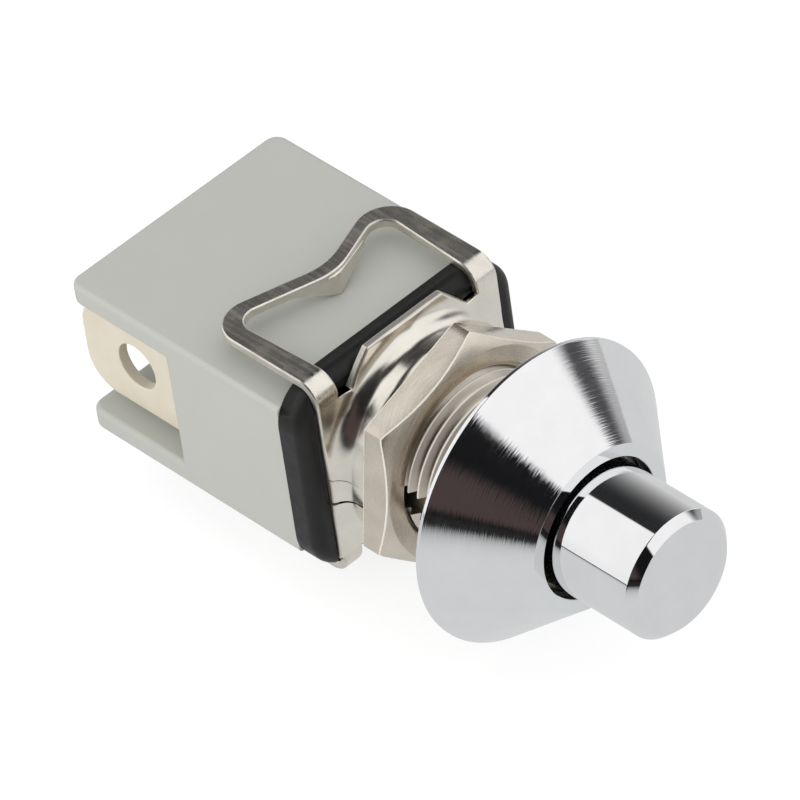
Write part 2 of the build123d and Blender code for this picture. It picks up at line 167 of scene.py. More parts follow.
# Mounting frame
SHEET_T = 0.6
SHEET_EDGE = 0.16
FRAME_HALF = 7.95
WING_TOP = 6.3
TAB_TOP = 8.4
TAB_TOP_HALF = 3.3
TAB_BASE_HALF = 5.15
NECK_FRONT = 2.3
NECK_HOLE_R = 6.03
NECK_R = 7.2
NECK_EDGE_R = 0.8
NECK_EDGE_STEPS = 8
NECK_INSIDE_STEPS = 3
FLARE_R = 1.35
FLARE_STEPS = 12
PLATE_FRONT = 5.1
FRAME_COLUMNS = 288
# The flare ends at least this far inside the plate's rim
RIM_ROOM = 0.30
# The frame's joint on each side: a slit with thin sheet left in it, and a lap above it
SLIT_SHEET = SHEET_T / 20
SEAM_HALF = math.radians(0.9)
SEAM_DROP = math.radians(11.0)
SEAM_WALL_TURN = 1e-3
LAP_TOP = math.radians(14.5)
LAP_RISE = 0.035
LAP_STEPS = 8
# An edge that turns less than this round the axis, in radians, runs along the joint
JOINT_SWEEP = 0.005
LEG_INNER = 6.1
STRAP_UNDER = 7.5
STRAP_FLAT_FRONT = PLATE_FRONT + 2
TOOTH_FRONT = 12.0
TOOTH_DROP = 0.05
# The plate's cut rim starts this far behind its front
RIM_SETBACK = 0.05
# Share of a normal along an axis that tells a cut face from a flat one
CUT_SLOPE = 0.3

# Case and terminals
SHIELD_DEPTH = 8.8
SHIELD_GAP = 9.0
SHIELD_CORNER_R = 1.0
SHIELD_CORNER_STEPS = 10
CASE_EDGE_R = 0.35
CASE_EDGE_STEPS = 5
CASE_WALL = 1.3
CASE_HOLLOW = 9.1
TERMINAL_EDGE = 0.10

# Springs; both are wound from the top
RETURN_R = 4.0
RETURN_WIRE = 0.6
RETURN_FRONT = -2.0
RETURN_BACK = 5.4
RETURN_TURNS = 5.5
CONTACT_R = 2.1
CONTACT_WIRE = 0.4
CONTACT_FRONT = 8.6
CONTACT_BACK = 11.7
CONTACT_TURNS = 3.5
COIL_SIDES = 16
COIL_STEPS = 48
COIL_START = math.pi / 2

# Noise for the looks, as (features to the millimetre, detail)
CLOUD = (0.35, 4)
GRAIN = (9.0, 2)
PATCH = (1.4, 4)
SAG = (0.5, 2)
FILM = (0.55, 4)
TURNED_FILM = (0.5, 4)
LINE_DETAIL = 3
RING_ROUGHNESS = 0.6
# How much of a moulding's colour is cloud and how much grain, and how far its roughness goes to each side
CLOUD_SHARE = 0.7
GRAIN_SHARE = 0.3
MATTER = 0.08
SMOOTHER = 0.07
# How much of plated metal's roughness comes from its lines; the rest comes from its film
WEAR_SHARE = 0.5
# Depths of the looks' bumps, in metres, and the strength of two of them
SAG_DEPTH = 60 * MICRON
GRAIN_DEPTH = 12 * MICRON
LINE_DEPTH = 10 * MICRON
FILM_DEPTH = 40 * MICRON
SAG_STRENGTH = 0.12
TURNED_WAVE = 0.03


# Shader helpers

class Nodes:
    """A node tree with short ways to add to it."""

    def __init__(self, tree):
        self.tree = tree

    def node(self, kind, inputs=None, **settings):
        n = self.tree.nodes.new(kind)
        for key, value in settings.items():
            setattr(n, key, value)
        for key, value in (inputs or {}).items():
            if isinstance(value, bpy.types.NodeSocket):
                self.tree.links.new(value, n.inputs[key])
            else:
                n.inputs[key].default_value = value
        return n

    def math(self, operation, a, b=0.0):
        return self.node("ShaderNodeMath", {0: a, 1: b}, operation=operation).outputs[0]

    def sum(self, a, share_a, b, share_b):
        return self.math("ADD", self.math("MULTIPLY", a, share_a), self.math("MULTIPLY", b, share_b))

    def ramp(self, fac, low, high, from_low=0.3, from_high=0.7, shape="LINEAR"):
        n = self.node("ShaderNodeMapRange", {
            "Value": fac, "From Min": from_low, "From Max": from_high, "To Min": low, "To Max": high},
            interpolation_type=shape)
        return n.outputs["Result"]

    def blend(self, fac, a, b):
        n = self.node("ShaderNodeMix", data_type="RGBA")
        self.tree.links.new(fac, n.inputs["Factor"])
        for key, value in (("A", a), ("B", b)):
            socket = [s for s in n.inputs if s.name == key and s.type == "RGBA"][0]
            if isinstance(value, bpy.types.NodeSocket):
                self.tree.links.new(value, socket)
            else:
                socket.default_value = (*value, 1.0)
        return [s for s in n.outputs if s.type == "RGBA"][0]


class Look(Nodes):
    """A principled material over millimetres."""

    def __init__(self, name, **sockets):
        self.material = bpy.data.materials.new(name)
        self.material.use_nodes = True
        super().__init__(self.material.node_tree)
        self.shader = self.tree.nodes["Principled BSDF"]
        for socket, value in sockets.items():
            self.shader.inputs[socket.replace("_", " ")].default_value = value
        place = self.node("ShaderNodeTexCoord").outputs["Object"]
        self.millimetres = self.scaled(place, (1 / MM, 1 / MM, 1 / MM))

    def scaled(self, vector, scale):
        return self.node("ShaderNodeMapping", {"Vector": vector, "Scale": scale}).outputs[0]

    def noise(self, scale, detail, vector=None, roughness=0.55):
        """Noise over millimetres; scale is one number, or three for a stretched grain."""
        vector = self.millimetres if vector is None else vector
        if isinstance(scale, tuple):
            vector = self.scaled(vector, scale)
            scale = 1.0
        n = self.node("ShaderNodeTexNoise", {
            "Vector": vector, "Scale": scale, "Detail": detail, "Roughness": roughness})
        return n.outputs["Fac"]

    def polar(self, around, along, radial):
        """Coordinates about the Y axis: stretched round the axis, fine along it and outwards."""
        split = self.node("ShaderNodeSeparateXYZ", {0: self.millimetres})
        flat = self.node("ShaderNodeCombineXYZ", {0: split.outputs[0], 2: split.outputs[2]}).outputs[0]
        out = self.node("ShaderNodeVectorMath", {0: flat}, operation="LENGTH").outputs["Value"]
        unit = self.node("ShaderNodeVectorMath", {0: flat}, operation="NORMALIZE").outputs[0]
        ring = self.scaled(unit, (around, 1, around))
        lift = self.node("ShaderNodeCombineXYZ", {1: self.sum(split.outputs[1], along, out, radial)})
        return self.node("ShaderNodeVectorMath", {0: ring, 1: lift.outputs[0]}, operation="ADD").outputs[0]

    def color(self, socket):
        self.tree.links.new(socket, self.shader.inputs["Base Color"])

    def rough(self, socket):
        self.tree.links.new(socket, self.shader.inputs["Roughness"])

    def bumps(self, *layers):
        """Layers of (height, strength, distance in metres), one after another."""
        normal = None
        for height, strength, distance in layers:
            inputs = {"Height": height, "Strength": strength, "Distance": distance}
            if normal is not None:
                inputs["Normal"] = normal
            normal = self.node("ShaderNodeBump", inputs).outputs[0]
        self.tree.links.new(normal, self.shader.inputs["Normal"])


def moulding(name, light, dark, roughness, grain=0.25, level=0.5):
    """Moulded plastic with a faint cloud in its colour and a fine grain."""
    look = Look(name, Specular_IOR_Level=level)
    fine = look.noise(*GRAIN)
    shade = look.sum(look.noise(*CLOUD), CLOUD_SHARE, fine, GRAIN_SHARE)
    look.color(look.blend(shade, dark, light))
    look.rough(look.ramp(look.noise(*PATCH), roughness - SMOOTHER, roughness + MATTER))
    look.bumps((look.noise(*SAG), SAG_STRENGTH, SAG_DEPTH), (fine, grain, GRAIN_DEPTH))
    return look.material


def plated(name, bright, dull, roughness, lines, line_strength, smudge=0.08, metallic=1.0, wave=0.05):
    """Plated metal with fine lines along one direction and a faint film; wave is how uneven the film lies."""
    look = Look(name, Metallic=metallic)
    grain = look.noise(lines, LINE_DETAIL)
    film = look.noise(*FILM)
    look.color(look.blend(look.ramp(film, 0, 1), bright, dull))
    wear = look.sum(grain, WEAR_SHARE, film, 1 - WEAR_SHARE)
    look.rough(look.ramp(wear, roughness - smudge / 2, roughness + smudge))
    look.bumps((grain, line_strength, LINE_DEPTH), (film, wave, FILM_DEPTH))
    return look.material


def turned(name, bright, dull, roughness, line_strength, lines=(1.5, 16.0, 16.0), smudge=0.05,
           detail=LINE_DETAIL):
    """Turned metal: fine lines round the Y axis, as features around, along and outwards."""
    look = Look(name, Metallic=1.0)
    rings = look.noise(1.0, detail, look.polar(*lines), RING_ROUGHNESS)
    film = look.noise(*TURNED_FILM)
    look.color(look.blend(look.ramp(film, 0, 1), bright, dull))
    look.rough(look.ramp(rings, roughness - smudge / 2, roughness + smudge))
    look.bumps((rings, line_strength, LINE_DEPTH), (film, TURNED_WAVE, FILM_DEPTH))
    return look.material


CASE = moulding("case_moulding", (0.50, 0.51, 0.47), (0.47, 0.48, 0.44), 0.58, 0.12, 0.25)
COVER = moulding("cover_moulding", (0.016, 0.016, 0.015), (0.010, 0.010, 0.010), 0.38, 0.3, 0.25)
NATURAL = moulding("natural_moulding", (0.74, 0.71, 0.64), (0.66, 0.63, 0.56), 0.45)
SHEET = plated(
    "nickel_sheet", (0.88, 0.84, 0.77), (0.80, 0.76, 0.68), 0.18, (1.0, 4.0, 4.0), 0.05, wave=0.14)
STRAP = plated(
    "nickel_strap", (0.88, 0.84, 0.77), (0.78, 0.73, 0.65), 0.20, (3.2, 0.22, 3.2), 0.10,
    smudge=0.26, wave=0.14)
SHEARED = plated("sheared_edge", (0.84, 0.80, 0.74), (0.70, 0.66, 0.60), 0.44, (3.0, 3.0, 3.0), 0.15)
# Nut edge strips and thread crests: a lighter, mostly matt colour that paints in a highlight
PAINTED_EDGE_HIGHLIGHT = plated(
    "nickel_edge_painted_highlight", (0.92, 0.87, 0.79), (0.86, 0.80, 0.71), 0.45, (3.0, 3.0, 3.0), 0.1, metallic=0.25)
TIN = plated(
    "tinned_strip", (0.87, 0.80, 0.66), (0.83, 0.755, 0.61), 0.42, (6.0, 0.8, 6.0), 0.10, metallic=0.45)
BRASS = plated("brass_strip", (0.76, 0.56, 0.28), (0.62, 0.44, 0.20), 0.30, (0.8, 6.0, 6.0), 0.2)
SILVER = plated("silver_face", (0.84, 0.83, 0.80), (0.72, 0.71, 0.68), 0.25, (6.0, 6.0, 6.0), 0.1)
WIRE = plated("spring_wire", (0.52, 0.52, 0.52), (0.40, 0.40, 0.41), 0.28, (8.0, 1.0, 8.0), 0.15)
DARK_STEEL = plated("dark_steel", (0.24, 0.24, 0.25), (0.15, 0.15, 0.16), 0.32, (5.0, 5.0, 5.0), 0.15)
NUT_METAL = turned("nickel_nut", (0.79, 0.725, 0.63), (0.68, 0.62, 0.53), 0.25, 0.35, (6.0, 9.0, 14.0))
BUSHING_METAL = turned("nickel_bushing", (0.78, 0.73, 0.65), (0.66, 0.60, 0.53), 0.32, 0.2)
BEZEL_CHROME = turned(
    "bezel_chrome", (0.90, 0.90, 0.91), (0.86, 0.86, 0.87), 0.06, 0.7, (5.0, 8.0, 8.0), detail=1)
BEZEL_POLISH = turned(
    "bezel_polish", (0.88, 0.89, 0.90), (0.85, 0.86, 0.87), 0.04, 0.03, (3.0, 6.0, 6.0), 0.02)
# The bezel's bore: a dark colour that paints in the shade inside it
BEZEL_PAINTED_SHADE = turned("bezel_bore_painted_shade", (0.10, 0.10, 0.10), (0.05, 0.05, 0.05), 0.45, 0.2, (3.0, 9.0, 9.0))
BEZEL_SATIN = turned("bezel_satin", (0.82, 0.81, 0.79), (0.76, 0.75, 0.73), 0.50, 0.3, (3.0, 9.0, 9.0))
BUTTON_CHROME = turned(
    "button_chrome", (0.88, 0.88, 0.89), (0.84, 0.84, 0.85), 0.035, 0.03, (3.0, 6.0, 6.0), 0.02)

# Looks of the CAD nodes that are shown as they are
NODE_LOOKS = {
    "spring_washer": DARK_STEEL,
    "actuator": NATURAL,
    "contact_bridge": BRASS,
    "retaining_ring": DARK_STEEL,
    "moving_contact_left": SILVER,
    "moving_contact_right": SILVER,
    "fixed_contact_left": SILVER,
    "fixed_contact_right": SILVER,
}
for node_name, look in NODE_LOOKS.items():
    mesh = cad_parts[node_name].data
    mesh.materials.clear()
    mesh.materials.append(look)


# Mesh helpers

def piece(name, bm, look, body, node, sharp=SHARP):
    """A closed mesh in millimetres that stands for a CAD node and rides on its body."""
    bmesh.ops.remove_doubles(bm, verts=bm.verts, dist=WELD)
    bmesh.ops.dissolve_degenerate(bm, edges=bm.edges, dist=WELD)
    bmesh.ops.recalc_face_normals(bm, faces=bm.faces)
    bmesh.ops.scale(bm, vec=(MM, MM, MM), verts=bm.verts)
    mesh = bpy.data.meshes.new(name)
    bm.to_mesh(mesh)
    bm.free()
    mesh.shade_smooth()
    mesh.set_sharp_from_angle(angle=math.radians(sharp))
    mesh.materials.append(look)
    obj = bpy.data.objects.new(name, mesh)
    bpy.context.scene.collection.objects.link(obj)
    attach(obj, body)
    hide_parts(node)
    return obj


def repaint(obj, look, chosen):
    """Gives some of a piece's faces another look; chosen takes a middle in millimetres and a normal."""
    obj.data.materials.append(look)
    for face in obj.data.polygons:
        if chosen(face.center / MM, face.normal):
            face.material_index = len(obj.data.materials) - 1


def flat_normals(obj):
    """Keeps a piece's flat faces flat next to its rounded edges."""
    obj.modifiers.new("flats", "WEIGHTED_NORMAL").keep_sharp = True


def broken_edges(obj, width, keep=None):
    """Breaks a piece's sharp edges by a small radius; keep tells from an edge's two ends whether it stays."""
    mesh = obj.data
    bm = bmesh.new()
    bm.from_mesh(mesh)
    weight = bm.edges.layers.float.new("bevel_weight_edge")
    for edge in bm.edges:
        ends = [v.co / MM for v in edge.verts]
        if edge.calc_face_angle(0.0) > math.radians(SHARP) and not (keep and keep(*ends)):
            edge[weight] = 1.0
    bm.to_mesh(mesh)
    bm.free()
    mesh.shade_smooth()
    bevel = obj.modifiers.new("edges", "BEVEL")
    bevel.width = width * MM
    bevel.segments = BEVEL_STEPS
    bevel.limit_method = "WEIGHT"
    bevel.use_clamp_overlap = False
    bevel.harden_normals = True
    flat_normals(obj)


def from_axis(point):
    """A point's distance from the Y axis."""
    return math.hypot(point[0], point[2])


def turned_to(turn, outline):
    """A column of (r, y) points at an angle round the Y axis."""
    return [(r * math.cos(turn), y, r * math.sin(turn)) for r, y in outline]


def even_turns(count):
    return [math.tau * k / count for k in range(count)]


def grid(columns, closed=True):
    """A mesh of quads between neighbouring columns of a closed outline."""
    bm = bmesh.new()
    made = [[bm.verts.new(p) for p in column] for column in columns]
    for c in range(len(made) if closed else len(made) - 1):
        here = made[c]
        there = made[(c + 1) % len(made)]
        for i in range(len(here)):
            j = (i + 1) % len(here)
            bm.faces.new((here[i], here[j], there[j], there[i]))
    return bm


def lathe(outline, count):
    """Turns a closed (r, y) outline round the Y axis."""
    return grid([turned_to(turn, outline) for turn in even_turns(count)])


def node_mesh(node):
    """A CAD node's mesh in millimetres, welded, with its flat faces whole."""
    bm = bmesh.new()
    bm.from_mesh(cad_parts[node].data)
    bmesh.ops.scale(bm, vec=(1 / MM, 1 / MM, 1 / MM), verts=bm.verts)
    bmesh.ops.remove_doubles(bm, verts=bm.verts, dist=WELD)
    bmesh.ops.dissolve_limit(bm, angle_limit=math.radians(FLAT_WITHIN), verts=bm.verts, edges=bm.edges)
    bmesh.ops.recalc_face_normals(bm, faces=bm.faces)
    return bm


def rounded(corners, steps=ROUND_STEPS):
    """A closed outline of (a, b, radius) corners, with each corner rounded."""
    points = []
    count = len(corners)
    for i, (a, b, radius) in enumerate(corners):
        here = Vector((a, b))
        before = Vector(corners[i - 1][:2]) - here
        after = Vector(corners[(i + 1) % count][:2]) - here
        if radius <= 0 or before.length < TINY or after.length < TINY:
            points.append((a, b))
            continue
        angle = before.angle(after)
        run = min(radius / math.tan(angle / 2), ROUND_SHARE * before.length, ROUND_SHARE * after.length)
        bend = run * math.tan(angle / 2)
        start = here + before.normalized() * run
        end = here + after.normalized() * run
        middle = here + (before.normalized() + after.normalized()).normalized() * (bend / math.sin(angle / 2))
        for k in range(steps + 1):
            p = start.lerp(end, k / steps) - middle
            points.append(tuple(middle + p.normalized() * bend))
    return points


def arc(center, radius, first, last, steps):
    """Points of an arc in (r, y), from one angle to another; 0 is outwards and 90 is to the rear."""
    angles = [math.radians(first + (last - first) * k / steps) for k in range(steps + 1)]
    return [(center[0] + radius * math.cos(a), center[1] + radius * math.sin(a)) for a in angles]


# Button and bezel nut

button_outline = rounded([
    (0.0, BUTTON_FRONT, 0),
    (BUTTON_R - BUTTON_BEVEL, BUTTON_FRONT, BUTTON_FACE_EDGE_R),
    (BUTTON_R, BUTTON_FRONT + BUTTON_BEVEL, BUTTON_SIDE_EDGE_R),
    (BUTTON_R, BUTTON_STOP_Y, HIDDEN_EDGE_R),
    (BUTTON_STOP_R, BUTTON_STOP_Y, HIDDEN_EDGE_R),
    (BUTTON_STOP_R, BUTTON_BACK, HIDDEN_EDGE_R),
    (BUTTON_HOLE_R, BUTTON_BACK, HIDDEN_EDGE_R),
    (BUTTON_HOLE_R, BUTTON_HOLE_Y, 0),
    (0.0, BUTTON_HOLE_Y, 0)])
piece("button_turned", lathe(button_outline, BUTTON_COLUMNS), BUTTON_CHROME, "button", "push_button")

bezel_outline = rounded([
    (BEZEL_BORE_R, BEZEL_RECESS_Y, 0),
    (BEZEL_RECESS_R, BEZEL_RECESS_Y, BEZEL_EDGE_R),
    (BEZEL_RECESS_R, BEZEL_REAR, BEZEL_EDGE_R),
    (BEZEL_R, BEZEL_REAR, BEZEL_RIM_EDGE_R),
    (BEZEL_R, BEZEL_REAR - BEZEL_RIM, BEZEL_RIM_EDGE_R),
    (BEZEL_FACE_R, BEZEL_FRONT, BEZEL_EDGE_R),
    (BEZEL_HOLE_R + BEZEL_HOLE_BEVEL, BEZEL_FRONT, HIDDEN_EDGE_R),
    (BEZEL_HOLE_R, BEZEL_FRONT + BEZEL_HOLE_BEVEL, HIDDEN_EDGE_R),
    (BEZEL_HOLE_R, BEZEL_SEAT_Y, HIDDEN_EDGE_R),
    (BEZEL_BORE_R, BEZEL_SEAT_Y, 0)])
bezel = piece("bezel_turned", lathe(bezel_outline, BEZEL_COLUMNS), BEZEL_CHROME, "bezel", "bezel_nut")
repaint(bezel, BEZEL_POLISH, lambda middle, normal: from_axis(middle) < BEZEL_RING_R)
# The bore behind the bezel's mouth is painted dark as shade
repaint(
    bezel, BEZEL_PAINTED_SHADE,
    lambda middle, normal: from_axis(middle) < BEZEL_RING_R and middle.y > BEZEL_MOUTH_Y)
repaint(
    bezel, BEZEL_SATIN,
    lambda middle, normal: middle.y > BEZEL_BACK_Y and normal.y > BEZEL_BACK_FACING)


# Threaded bushing

def thread_depth(y, turn):
    """Depth of the thread's surface below its crest at a place along the axis and an angle round it."""
    share = (y / THREAD_PITCH - (turn - THREAD_START) / math.tau) % 1.0
    shape = THREAD_SHAPE + ((1.0, 0.0),)
    for (a, low), (b, high) in zip(shape, shape[1:]):
        if share <= b:
            return THREAD_DEPTH * (low + (high - low) * (share - a) / (b - a))
    return 0.0


def bushing_outline(turn):
    """Closed (r, y) outline of the bushing at an angle, with the thread climbing one pitch a turn."""
    first = math.floor(BUSHING_FRONT / THREAD_PITCH) - 1
    last = math.ceil(BUSHING_THREAD_END / THREAD_PITCH) + 1
    points = []
    for pitch in range(first, last):
        for share, _ in THREAD_SHAPE:
            y = THREAD_PITCH * (pitch + share + (turn - THREAD_START) / math.tau)
            y = min(max(y, BUSHING_FRONT), BUSHING_THREAD_END)
            r = THREAD_R - thread_depth(y, turn)
            points.append((min(r, THREAD_R - BUSHING_BEVEL + y - BUSHING_FRONT), y))
    return points + [
        (BUSHING_FLANGE_R - BUSHING_FLANGE_BEVEL, BUSHING_THREAD_END),
        (BUSHING_FLANGE_R, BUSHING_THREAD_END + BUSHING_FLANGE_BEVEL),
        (BUSHING_FLANGE_R, BUSHING_BACK),
        (BUSHING_STOP_R, BUSHING_BACK),
        (BUSHING_STOP_R, BUSHING_STOP_Y),
        (BUSHING_BORE_R, BUSHING_STOP_Y),
        (BUSHING_BORE_R, BUSHING_FRONT)]


def keyway_column(turn, wall_z, on_floor):
    """A column of the bushing at a wall of the keyway, on its edge or down on its floor."""
    column = []
    for r, y in bushing_outline(turn):
        x = -math.sqrt(r * r - wall_z * wall_z)
        if on_floor and y <= BUSHING_THREAD_END and r < BUSHING_FLANGE_R - BUSHING_FLANGE_BEVEL:
            x = max(x, KEYWAY_X)
        column.append((x, y, wall_z))
    return column


def bushing_mesh():
    """The bushing as columns round the axis, with four columns for the keyway's walls and floor."""
    edge = math.asin(KEYWAY_HALF / THREAD_R)
    turns = even_turns(THREAD_COLUMNS) + [math.tau]
    columns = [(t, turned_to(t, bushing_outline(t))) for t in turns if abs(t - math.pi) > KEYWAY_ROOM * edge]
    for side in (-1, 1):
        for inward, on_floor in ((0.0, False), (KEYWAY_WALL_TURN, True)):
            turn = math.pi + side * (edge - inward)
            columns.append((turn, keyway_column(turn, -side * KEYWAY_HALF, on_floor)))
    return grid([column for _, column in sorted(columns)], False)


bushing = piece("bushing_threaded", bushing_mesh(), BUSHING_METAL, "switch", "threaded_bushing")
# The thread's crests get a painted highlight
repaint(
    bushing, PAINTED_EDGE_HIGHLIGHT,
    lambda middle, normal: from_axis(middle) > THREAD_R - THREAD_HIGHLIGHT_BAND and middle.y < BUSHING_HIGHLIGHT_END)


# Hexagon nut

def nut_mesh():
    """The hexagon nut as columns round its axis, with its front bevel and both bore bevels."""
    columns = []
    bevel_r = NUT_BORE_R + NUT_BORE_BEVEL
    for step in even_turns(NUT_COLUMNS):
        side = step % NUT_SIDE - NUT_SIDE / 2
        r = min(NUT_FLAT / math.cos(side), NUT_CORNER_R)
        outline = rounded([
            (NUT_BORE_R, NUT_BORE_BEVEL, HIDDEN_EDGE_R),
            (bevel_r, 0.0, NUT_BORE_EDGE_R),
            (NUT_FACE_R, 0.0, NUT_FACE_EDGE_R),
            (r, (r - NUT_FACE_R) * NUT_BEVEL, NUT_EDGE_R),
            (r, NUT_THICK, NUT_EDGE_R),
            (bevel_r, NUT_THICK, NUT_BORE_EDGE_R),
            (NUT_BORE_R, NUT_THICK - NUT_BORE_BEVEL, HIDDEN_EDGE_R)], NUT_EDGE_STEPS)
        columns.append(turned_to(NUT_TURN + step, outline))
    return grid(columns)


nut = piece("nut_milled", nut_mesh(), NUT_METAL, "nut", "hex_nut", sharp=NUT_SHARP)
# The nut's rounded edge strips get a painted highlight
repaint(
    nut, PAINTED_EDGE_HIGHLIGHT,
    lambda middle, normal: from_axis(middle) > NUT_FACE_R and NUT_HIGHLIGHT_SLOPES[0] < abs(normal.y) < NUT_HIGHLIGHT_SLOPES[1])


# Mounting frame

def frame_reach(turn):
    """How far the frame's plate reaches from the axis at an angle: its two wings and its two tabs."""
    x = max(abs(math.cos(turn)), TINY)
    z = max(abs(math.sin(turn)), TINY)
    wing = min(FRAME_HALF / x, WING_TOP / z)
    rise = TAB_TOP - WING_TOP
    run = TAB_BASE_HALF - TAB_TOP_HALF
    tab = min(TAB_TOP / z, (TAB_BASE_HALF * rise + WING_TOP * run) / (x * rise + z * run))
    return tab if tab * z > WING_TOP else wing


def frame_outline(turn, lap, slit):
    """Closed (r, y) outline of the drawn neck and the plate at an angle; a slit has no flare in front."""
    reach = frame_reach(turn)
    flare = (NECK_R + FLARE_R, PLATE_FRONT - FLARE_R)
    inner_r = FLARE_R + SHEET_T
    short = min(reach - RIM_ROOM, flare[0])
    front_end = math.acos((flare[0] - short) / FLARE_R)
    back_end = math.acos((flare[0] - short) / inner_r)
    back = arc(flare, inner_r, 180, 180 - math.degrees(back_end), FLARE_STEPS)
    front = arc(flare, FLARE_R - lap, 180, 180 - math.degrees(front_end), FLARE_STEPS)
    back.append((reach, back[-1][1] + (reach - short) / math.tan(back_end)))
    front.append((reach, front[-1][1] + (reach - short) / math.tan(front_end)))
    if slit:
        front = [(r, y - SLIT_SHEET) for r, y in back]
    edge = (NECK_R - NECK_EDGE_R, NECK_FRONT + NECK_EDGE_R)
    points = [(NECK_HOLE_R, NECK_FRONT)] + arc(edge, NECK_EDGE_R, -90, 0, NECK_EDGE_STEPS) + front
    points += back[::-1] + arc(edge, NECK_EDGE_R - SHEET_T, 0, -90, NECK_INSIDE_STEPS)
    return points + [(NECK_HOLE_R, NECK_FRONT + SHEET_T)]


def neck_mesh():
    """The frame's neck, wings and tabs as columns round the axis, with the joint's slit and lap."""
    corners = ((FRAME_HALF, WING_TOP), (TAB_BASE_HALF, WING_TOP), (TAB_TOP_HALF, TAB_TOP))
    quarter = [math.atan2(z, x) for x, z in corners]
    marks = [t for q in quarter for t in (q, math.pi - q, math.pi + q, math.tau - q)]
    room = math.tau / FRAME_COLUMNS / 2
    turns = marks + [t for t in even_turns(FRAME_COLUMNS) if min(abs(t - m) for m in marks) > room]
    columns = [(t, 0.0, False) for t in turns]
    for side, up in ((-SEAM_DROP, 1), (math.pi + SEAM_DROP, -1)):
        columns = [c for c in columns if math.cos(c[0] - side) < math.cos(LAP_TOP)]
        for k in range(LAP_STEPS + 1):
            away = SEAM_HALF + (LAP_TOP - SEAM_HALF) * k / LAP_STEPS
            columns += [(side + up * away, LAP_RISE, False), (side - up * away, 0.0, False)]
        columns.append((side + up * (LAP_TOP + SEAM_WALL_TURN), 0.0, False))
        columns += [(side + way * (SEAM_HALF - SEAM_WALL_TURN), 0.0, True) for way in (up, -up)]
    columns = sorted((t % math.tau, lap, slit) for t, lap, slit in columns)
    return grid([turned_to(t, frame_outline(t, lap, slit)) for t, lap, slit in columns])


def strap_mesh():
    """The frame's two strap loops, taken from the CAD node where they leave the wings."""
    bm = node_mesh("mounting_frame")
    for z in (WING_TOP, -WING_TOP):
        everything = bm.verts[:] + bm.edges[:] + bm.faces[:]
        bmesh.ops.bisect_plane(bm, geom=everything, dist=WELD, plane_co=(0, 0, z), plane_no=(0, 0, 1))
    plate = []
    for face in bm.faces:
        x, y, z = face.calc_center_median()
        tab = abs(x) < TAB_BASE_HALF and y < PLATE_FRONT + SHEET_T + NEAR
        if tab or abs(z) < WING_TOP - NEAR:
            plate.append(face)
    bmesh.ops.delete(bm, geom=plate, context="FACES")
    bmesh.ops.holes_fill(bm, edges=[e for e in bm.edges if e.is_boundary], sides=0)
    return bm


def at_leg(a, b):
    """Whether an edge of the plate lies under a strap's leg, round the neck's hole, or along the joint."""
    middle = (a + b) / 2
    under_leg = abs(abs(middle.z) - WING_TOP) < NEAR and abs(middle.x) > LEG_INNER
    sweep = abs(a.x * b.z - a.z * b.x) / (from_axis(a) * from_axis(b))
    joint = abs(middle.x) > TAB_BASE_HALF and sweep < JOINT_SWEEP
    return under_leg or joint or from_axis(middle) < NECK_R


def at_tooth(a, b):
    """Whether an edge of a strap belongs to its tooth, or lies where its leg leaves the wing."""
    middle = (a + b) / 2
    tooth = middle.y > TOOTH_FRONT and abs(middle.z) < STRAP_UNDER + SHEET_T - TOOTH_DROP
    return tooth or abs(abs(middle.z) - WING_TOP) < NEAR


def plate_cut(middle, normal):
    """Whether a face of the plate is part of its cut rim."""
    return middle.y > PLATE_FRONT + RIM_SETBACK and abs(normal.y) < CUT_SLOPE


def strap_cut(middle, normal):
    """Whether a face of a strap loop is part of its cut sides."""
    flat = abs(middle.z) > STRAP_UNDER and middle.y > STRAP_FLAT_FRONT
    return abs(normal.x) > CUT_SLOPE or (flat and abs(normal.z) < CUT_SLOPE)


neck = piece("frame_neck", neck_mesh(), SHEET, "switch", "mounting_frame")
repaint(neck, SHEARED, plate_cut)
broken_edges(neck, SHEET_EDGE, at_leg)
straps = piece("frame_straps", strap_mesh(), STRAP, "switch", "mounting_frame")
repaint(straps, SHEARED, strap_cut)
broken_edges(straps, SHEET_EDGE, at_tooth)


# Case, cover and terminals

def rounded_edges(bm, edges, radius, steps):
    bmesh.ops.bevel(
        bm, geom=edges, offset=radius, offset_type="OFFSET", segments=steps, profile=0.5, affect="EDGES")


def front_face(bm):
    return min(bm.faces, key=lambda f: f.calc_center_median().y)


def case_block(low, high):
    """The case as a block with two shields to the rear, with its edges rounded but for the front ones."""
    back = high[1] - SHIELD_DEPTH
    half = SHIELD_GAP / 2
    outline = (
        (low[1], low[2]), (high[1], low[2]), (high[1], -half), (back, -half),
        (back, half), (high[1], half), (high[1], high[2]), (low[1], high[2]))
    bm = bmesh.new()
    left, right = ([bm.verts.new((x, y, z)) for y, z in outline] for x in (low[0], high[0]))
    bm.faces.new(left)
    bm.faces.new(right)
    for i in range(len(outline)):
        j = (i + 1) % len(outline)
        bm.faces.new((left[i], left[j], right[j], right[i]))
    bmesh.ops.recalc_face_normals(bm, faces=bm.faces)
    upright = [e for e in bm.edges if all(v.co.y > high[1] - NEAR for v in e.verts)]
    upright = [e for e in upright if abs(e.verts[0].co.z - e.verts[1].co.z) > NEAR]
    rounded_edges(bm, upright, SHIELD_CORNER_R, SHIELD_CORNER_STEPS)
    front = front_face(bm)
    edges = [
        e for e in bm.edges if e.calc_face_angle(0) > math.radians(SHARP) and front not in e.link_faces]
    rounded_edges(bm, edges, CASE_EDGE_R, CASE_EDGE_STEPS)
    return bm


